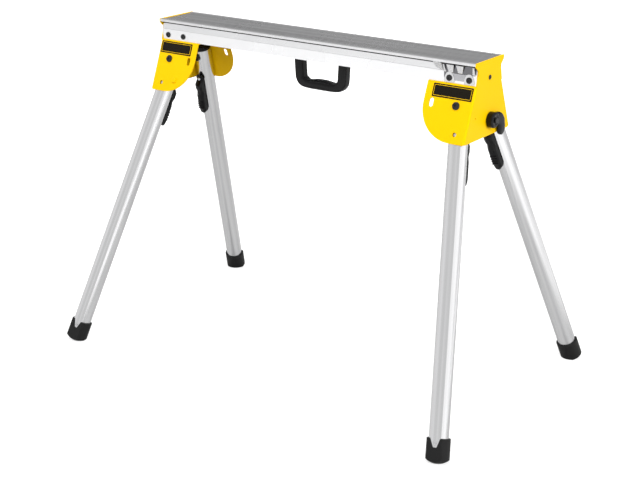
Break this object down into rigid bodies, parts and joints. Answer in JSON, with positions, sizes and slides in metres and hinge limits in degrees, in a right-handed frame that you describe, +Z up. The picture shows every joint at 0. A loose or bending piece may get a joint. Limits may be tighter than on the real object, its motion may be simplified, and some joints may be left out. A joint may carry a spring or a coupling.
{
  "type": "folding miter saw stand",
  "caption": "Folding stand for a miter saw: a ribbed aluminium beam on splayed round tube legs that fold up under it, with yellow hinge housings.",
  "frame": {"origin": "on the floor under the middle of the beam, centre of the four feet", "axes": "+Z up, +X along the beam to its right end, -Y towards the side that faces the camera"},
  "size_m": [1.1534, 0.702, 0.813],
  "materials": {
    "extruded_aluminium": "satin",
    "tube_aluminium": "satin",
    "yellow_paint": "satin",
    "black_steel": "satin",
    "zinc_steel": "satin",
    "spring_steel": "satin",
    "black_plastic": "matte",
    "lever_plastic": "matte",
    "nylon": "matte",
    "plate_black": "satin",
    "black_rubber": "matte"
  },
  "bodies": {
    "stand": {"beam": "extruded_aluminium", "housing_right": "yellow_paint", "housing_left": "yellow_paint", "housing_screws": "black_steel", "housing_nuts": "zinc_steel", "end_screws": "black_steel", "label_plates": "plate_black", "hinge_bolts": "black_steel", "hinge_nuts": "black_steel", "hinge_washers": "nylon", "hinge_studs": "zinc_steel", "hinge_straps": "zinc_steel", "carry_handle": "black_plastic", "handle_screws": "black_steel", "wall_bracket_front": "zinc_steel", "wall_bracket_rear": "zinc_steel", "hook_bolts": "black_steel"},
    "front_right_leg": {"leg_front_right": "tube_aluminium", "leg_cap_front_right": "black_plastic", "leg_bush_front_right": "nylon", "leg_boot_front_right": "black_rubber", "boot_screw_front_right": "zinc_steel", "lock_spring_front_right": "spring_steel", "lever_bracket_front_right": "black_plastic", "lever_pin_front_right": "zinc_steel"},
    "front_right_lever": {"lock_lever_front_right": "lever_plastic"},
    "front_right_pin": {"lock_pin_front_right": "zinc_steel"},
    "rear_left_leg": {"leg_rear_left": "tube_aluminium", "leg_cap_rear_left": "black_plastic", "leg_bush_rear_left": "nylon", "leg_boot_rear_left": "black_rubber", "boot_screw_rear_left": "zinc_steel", "lock_spring_rear_left": "spring_steel", "lever_bracket_rear_left": "black_plastic", "lever_pin_rear_left": "zinc_steel"},
    "rear_left_lever": {"lock_lever_rear_left": "lever_plastic"},
    "rear_left_pin": {"lock_pin_rear_left": "zinc_steel"},
    "front_left_leg": {"leg_front_left": "tube_aluminium", "leg_cap_front_left": "black_plastic", "leg_bush_front_left": "nylon", "leg_boot_front_left": "black_rubber", "boot_screw_front_left": "zinc_steel", "lock_spring_front_left": "spring_steel", "lever_bracket_front_left": "black_plastic", "lever_pin_front_left": "zinc_steel"},
    "front_left_lever": {"lock_lever_front_left": "lever_plastic"},
    "front_left_pin": {"lock_pin_front_left": "zinc_steel"},
    "rear_right_leg": {"leg_rear_right": "tube_aluminium", "leg_cap_rear_right": "black_plastic", "leg_bush_rear_right": "nylon", "leg_boot_rear_right": "black_rubber", "boot_screw_rear_right": "zinc_steel", "lock_spring_rear_right": "spring_steel", "lever_bracket_rear_right": "black_plastic", "lever_pin_rear_right": "zinc_steel"},
    "rear_right_lever": {"lock_lever_rear_right": "lever_plastic"},
    "rear_right_pin": {"lock_pin_rear_right": "zinc_steel"},
    "right_hook": {"end_hook_right": "black_plastic"},
    "left_hook": {"end_hook_left": "black_plastic"}
  },
  "joints": [
    {"name": "front_right_fold", "type": "hinge", "parent": "stand", "child": "front_right_leg", "pos_m": [0.4173, -0.05433, 0.70912], "axis": [0, 0.9304, -0.3665], "range_deg": [0, 100]},
    {"name": "front_right_lever_rock", "type": "hinge", "parent": "front_right_leg", "child": "front_right_lever", "pos_m": [0.43553, -0.06431, 0.60192], "axis": [0.9848, 0.0636, 0.1616], "range_deg": [-3.2, 5.2]},
    {"name": "front_right_pin_slide", "type": "slide", "parent": "front_right_leg", "child": "front_right_pin", "axis": [0, -0.9304, 0.3665], "range_m": [-0.0021, 0.0035], "stiffness_N_per_m": 800, "springref_m": 0.0035, "deforming": ["lock_spring_front_right"]},
    {"name": "rear_left_fold", "type": "hinge", "parent": "stand", "child": "rear_left_leg", "pos_m": [-0.4173, 0.05433, 0.70912], "axis": [0, -0.9304, -0.3665], "range_deg": [0, 100]},
    {"name": "rear_left_lever_rock", "type": "hinge", "parent": "rear_left_leg", "child": "rear_left_lever", "pos_m": [-0.43553, 0.06431, 0.60192], "axis": [-0.9848, -0.0636, 0.1616], "range_deg": [-3.2, 5.2]},
    {"name": "rear_left_pin_slide", "type": "slide", "parent": "rear_left_leg", "child": "rear_left_pin", "axis": [0, 0.9304, 0.3665], "range_m": [-0.0021, 0.0035], "stiffness_N_per_m": 800, "springref_m": 0.0035, "deforming": ["lock_spring_rear_left"]},
    {"name": "front_left_fold", "type": "hinge", "parent": "stand", "child": "front_left_leg", "pos_m": [-0.41217, -0.06899, 0.6719], "axis": [0, -0.9304, 0.3665], "range_deg": [0, 100]},
    {"name": "front_left_lever_rock", "type": "hinge", "parent": "front_left_leg", "child": "front_left_lever", "pos_m": [-0.43553, -0.06431, 0.60192], "axis": [0.9848, -0.0636, -0.1616], "range_deg": [-3.2, 5.2]},
    {"name": "front_left_pin_slide", "type": "slide", "parent": "front_left_leg", "child": "front_left_pin", "axis": [0, -0.9304, 0.3665], "range_m": [-0.0021, 0.0035], "stiffness_N_per_m": 800, "springref_m": 0.0035, "deforming": ["lock_spring_front_left"]},
    {"name": "rear_right_fold", "type": "hinge", "parent": "stand", "child": "rear_right_leg", "pos_m": [0.41217, 0.06899, 0.6719], "axis": [0, 0.9304, 0.3665], "range_deg": [0, 100]},
    {"name": "rear_right_lever_rock", "type": "hinge", "parent": "rear_right_leg", "child": "rear_right_lever", "pos_m": [0.43553, 0.06431, 0.60192], "axis": [-0.9848, 0.0636, -0.1616], "range_deg": [-3.2, 5.2]},
    {"name": "rear_right_pin_slide", "type": "slide", "parent": "rear_right_leg", "child": "rear_right_pin", "axis": [0, 0.9304, 0.3665], "range_m": [-0.0021, 0.0035], "stiffness_N_per_m": 800, "springref_m": 0.0035, "deforming": ["lock_spring_rear_right"]},
    {"name": "right_hook_swing", "type": "hinge", "parent": "stand", "child": "right_hook", "pos_m": [0.4653, 0.008, 0.676], "axis": [1, 0, 0], "range_deg": [0, 90]},
    {"name": "left_hook_swing", "type": "hinge", "parent": "stand", "child": "left_hook", "pos_m": [-0.4653, -0.008, 0.676], "axis": [-1, 0, 0], "range_deg": [0, 90]}
  ],
  "couplings": [
    {"joint": "front_right_lever_rock", "follows": "front_right_pin_slide", "rad_per_m": 23.809},
    {"joint": "rear_left_lever_rock", "follows": "rear_left_pin_slide", "rad_per_m": 23.809},
    {"joint": "front_left_lever_rock", "follows": "front_left_pin_slide", "rad_per_m": 23.809},
    {"joint": "rear_right_lever_rock", "follows": "rear_right_pin_slide", "rad_per_m": 23.809}
  ]
}
